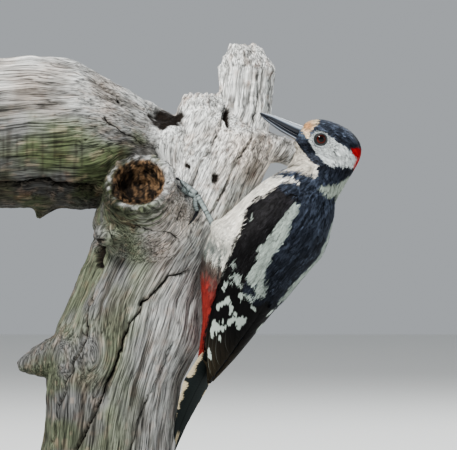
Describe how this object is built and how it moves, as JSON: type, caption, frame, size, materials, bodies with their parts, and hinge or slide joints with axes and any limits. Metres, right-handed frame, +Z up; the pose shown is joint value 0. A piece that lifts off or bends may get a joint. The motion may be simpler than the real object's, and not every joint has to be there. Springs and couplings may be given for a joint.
{
  "type": "great spotted woodpecker",
  "caption": "Still, life-size male great spotted woodpecker clinging to a cut length of dead trunk, on a plain display stand.",
  "frame": {"origin": "on the underside of the display stand's base, at the middle of its oval", "axes": "+Z up, along the trunk and the bird; +X the way the bird's back and the back of its head face in the side view; -Y is the side from which its left wing is seen, and the bill points to -X"},
  "size_m": [0.2417, 0.152, 0.3065],
  "materials": {
    "dark_plumage": "silky blue-black feather, with white and red markings on the head and white spots on the wings",
    "pale_plumage": "soft white feather, scarlet under the tail and black over the back",
    "bill_horn": "slate-grey horn with a soft sheen",
    "claw_horn": "dark horn",
    "eye_glass": "wet, dark red-brown iris round a black pupil",
    "foot_skin": "grey scaly skin",
    "weathered_wood": "bare, silver-grey dead wood, cracked along the grain",
    "stand_wood": "dark stained, satin",
    "stand_steel": "brushed"
  },
  "bodies": {
    "root": {"bill_lower": "bill_horn", "bill_upper": "bill_horn", "claw_left_1": "claw_horn", "claw_left_2": "claw_horn", "claw_left_3": "claw_horn", "claw_left_4": "claw_horn", "claw_right_1": "claw_horn", "claw_right_2": "claw_horn", "claw_right_3": "claw_horn", "claw_right_4": "claw_horn", "eye_left": "eye_glass", "eye_right": "eye_glass", "head": "dark_plumage", "neck": "dark_plumage", "perch": "weathered_wood", "stand_base": "stand_wood", "stand_rod_left": "stand_steel", "stand_rod_right": "stand_steel", "tail": "dark_plumage", "tarsus_left": "foot_skin", "tarsus_right": "foot_skin", "thigh_left": "pale_plumage", "thigh_right": "pale_plumage", "toe_left_1": "foot_skin", "toe_left_2": "foot_skin", "toe_left_3": "foot_skin", "toe_left_4": "foot_skin", "toe_right_1": "foot_skin", "toe_right_2": "foot_skin", "toe_right_3": "foot_skin", "toe_right_4": "foot_skin", "torso": "pale_plumage", "wing_left_coverts": "dark_plumage", "wing_left_primaries": "dark_plumage", "wing_left_secondaries": "dark_plumage", "wing_right_coverts": "dark_plumage", "wing_right_primaries": "dark_plumage", "wing_right_secondaries": "dark_plumage"}
  },
  "joints": []
}
